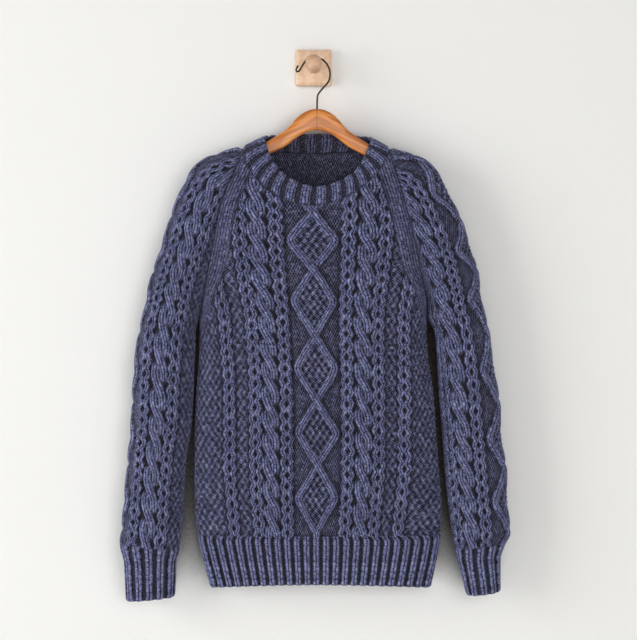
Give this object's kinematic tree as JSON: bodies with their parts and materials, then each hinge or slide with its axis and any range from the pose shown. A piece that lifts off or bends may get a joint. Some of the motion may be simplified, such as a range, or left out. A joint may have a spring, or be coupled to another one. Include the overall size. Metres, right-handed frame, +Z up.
{
  "type": "aran sweater on a wooden hanger and wall peg",
  "caption": "Blue cable-knit raglan sweater with a crew neck, diamond, rope and chain cables and ribbed edges, hung on a wooden hanger whose wire hook rests on a wall peg.",
  "frame": {"origin": "centre of the back face of the peg's square plate, where it meets the wall", "axes": "+Y into the wall, so the sweater's front faces -Y; +Z up; +X to the right of someone looking at the front"},
  "size_m": [0.6246, 0.0963, 0.8867],
  "materials": {
    "wool": "heathered wool",
    "hanger_wood": "satin varnish",
    "peg_wood": "smooth, bare",
    "wire": "satin"
  },
  "bodies": {
    "root": {"front": "wool", "back": "wool", "right_sleeve": "wool", "left_sleeve": "wool", "neckband": "wool", "hanger": "hanger_wood", "hook": "wire", "peg": "peg_wood", "wall_plate": "peg_wood"}
  },
  "joints": []
}
